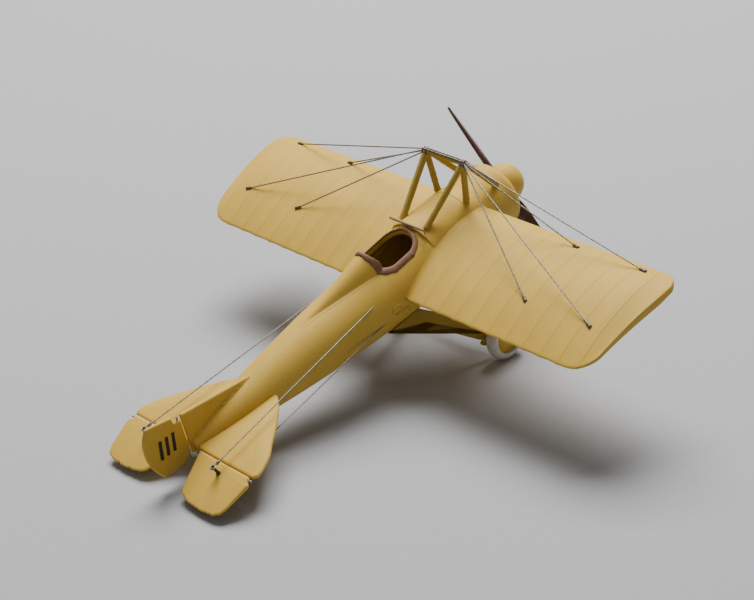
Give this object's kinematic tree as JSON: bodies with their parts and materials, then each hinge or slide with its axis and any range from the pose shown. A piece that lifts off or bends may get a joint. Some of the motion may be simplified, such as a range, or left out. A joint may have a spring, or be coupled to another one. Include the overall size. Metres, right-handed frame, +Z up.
{
  "type": "propeller plane model",
  "caption": "Small standing model of an early racing monoplane: round tapering hull, thin wire-braced wings, domed spinner, two-blade propeller and open cockpit.",
  "frame": {"origin": "on the ground, at the middle of the model's plan outline", "axes": "+X towards the propeller, +Y to the port wing tip, +Z up, with the model standing on its wheels and tail skid"},
  "size_m": [0.0852, 0.0938, 0.0383],
  "materials": {
    "hull_paint": "satin brushed-on cream yellow",
    "wheel_cover": "satin cream yellow",
    "tyre_rubber": "off-white rubber",
    "propeller_wood": "dark reddish brown varnish",
    "coaming_leather": "rough mauve brown",
    "seat_leather": "worn brown",
    "cockpit_interior": "near-black flat",
    "clear_pane": "clear",
    "horn_metal": "dark grey satin",
    "shaft_steel": "dull",
    "rigging_wire": "bright drawn wire",
    "socket_metal": "dark",
    "cord_rubber": "dark grey"
  },
  "bodies": {
    "airframe": {"axle": "shaft_steel", "axle_bindings": "cord_rubber", "axle_caps": "shaft_steel", "cockpit_coaming": "coaming_leather", "cockpit_floor": "cockpit_interior", "crossbar_wires": "rigging_wire", "deck_panel": "hull_paint", "elevator_pin_port": "shaft_steel", "elevator_pin_starboard": "shaft_steel", "engine_cowl": "hull_paint", "fin": "hull_paint", "firewall": "cockpit_interior", "fuselage_half_port": "hull_paint", "fuselage_half_starboard": "hull_paint", "gear_front_leg_port": "hull_paint", "gear_front_leg_starboard": "hull_paint", "gear_rail_port": "hull_paint", "gear_rail_starboard": "hull_paint", "gear_rear_leg_port": "hull_paint", "gear_rear_leg_starboard": "hull_paint", "headrest_fairing": "hull_paint", "pilot_seat": "cockpit_interior", "pylon_crossbar": "hull_paint", "pylon_forward_strut_port": "hull_paint", "pylon_forward_strut_starboard": "hull_paint", "pylon_front_strut_port": "hull_paint", "pylon_front_strut_starboard": "hull_paint", "pylon_rear_strut_port": "hull_paint", "pylon_rear_strut_starboard": "hull_paint", "rudder_pin": "shaft_steel", "seat_pad": "seat_leather", "stabiliser_port": "hull_paint", "stabiliser_starboard": "hull_paint", "tail_skid": "hull_paint", "windscreen": "clear_pane", "wing_port": "hull_paint", "wing_starboard": "hull_paint", "wing_wire_sockets": "socket_metal", "wing_wires_port": "rigging_wire", "wing_wires_starboard": "rigging_wire"},
    "propeller_body": {"propeller": "propeller_wood", "spinner_backplate": "hull_paint", "spinner_dome": "hull_paint", "propeller_shaft": "shaft_steel"},
    "wheel_port_body": {"tyre_port": "tyre_rubber", "wheel_disc_port": "wheel_cover"},
    "wheel_starboard_body": {"tyre_starboard": "tyre_rubber", "wheel_disc_starboard": "wheel_cover"},
    "rudder_body": {"rudder": "hull_paint"},
    "elevator_port_body": {"elevator_port": "hull_paint", "elevator_horn_port": "horn_metal"},
    "elevator_starboard_body": {"elevator_starboard": "hull_paint", "elevator_horn_starboard": "horn_metal"},
    "wire_upper_port_body": {"elevator_wire_upper_port": "rigging_wire"},
    "wire_upper_starboard_body": {"elevator_wire_upper_starboard": "rigging_wire"},
    "wire_lower_port_body": {"elevator_wire_lower_port": "rigging_wire"},
    "wire_lower_starboard_body": {"elevator_wire_lower_starboard": "rigging_wire"}
  },
  "joints": [
    {"name": "propeller_spin", "type": "hinge", "parent": "airframe", "child": "propeller_body", "pos_m": [0.03845, 0, 0.02452], "axis": [0.9613, 0, 0.2756], "continuous": true},
    {"name": "rudder_turn", "type": "hinge", "parent": "airframe", "child": "rudder_body", "pos_m": [-0.03394, 0, 0.0034], "axis": [-0.2096, 0, 0.9778], "range_deg": [-25, 25]},
    {"name": "elevator_port_turn", "type": "hinge", "parent": "airframe", "child": "elevator_port_body", "pos_m": [-0.03379, 0, 0.00505], "axis": [0, 1, 0], "range_deg": [-8, 20]},
    {"name": "elevator_starboard_turn", "type": "hinge", "parent": "airframe", "child": "elevator_starboard_body", "pos_m": [-0.03379, 0, 0.00505], "axis": [0, 1, 0], "range_deg": [-8, 20]},
    {"name": "wheel_port_spin", "type": "hinge", "parent": "airframe", "child": "wheel_port_body", "pos_m": [0.02562, 0.0119, 0.0043], "axis": [0, 1, 0], "continuous": true},
    {"name": "wheel_starboard_spin", "type": "hinge", "parent": "airframe", "child": "wheel_starboard_body", "pos_m": [0.02562, -0.0119, 0.0043], "axis": [0, 1, 0], "continuous": true},
    {"name": "wire_upper_port_slide", "type": "slide", "parent": "airframe", "child": "wire_upper_port_body", "axis": [0.9575, -0.086, 0.2754], "range_m": [-0.000243, 0.000608]},
    {"name": "wire_upper_starboard_slide", "type": "slide", "parent": "airframe", "child": "wire_upper_starboard_body", "axis": [0.9575, 0.086, 0.2754], "range_m": [-0.000253, 0.000618]},
    {"name": "wire_lower_port_slide", "type": "slide", "parent": "airframe", "child": "wire_lower_port_body", "axis": [0.9614, -0.07, 0.2661], "range_m": [-0.000638, 0.000261]},
    {"name": "wire_lower_starboard_slide", "type": "slide", "parent": "airframe", "child": "wire_lower_starboard_body", "axis": [0.9614, 0.07, 0.2661], "range_m": [-0.000638, 0.000261]}
  ],
  "couplings": [
    {"joint": "elevator_port_turn", "follows": "wire_upper_port_slide", "rad_per_m": 573.88},
    {"joint": "elevator_starboard_turn", "follows": "wire_upper_port_slide", "rad_per_m": 573.88},
    {"joint": "wire_upper_starboard_slide", "follows": "wire_upper_port_slide", "ratio": 1},
    {"joint": "wire_lower_port_slide", "follows": "wire_upper_port_slide", "ratio": -1.0323},
    {"joint": "wire_lower_starboard_slide", "follows": "wire_upper_port_slide", "ratio": -1.0323}
  ]
}
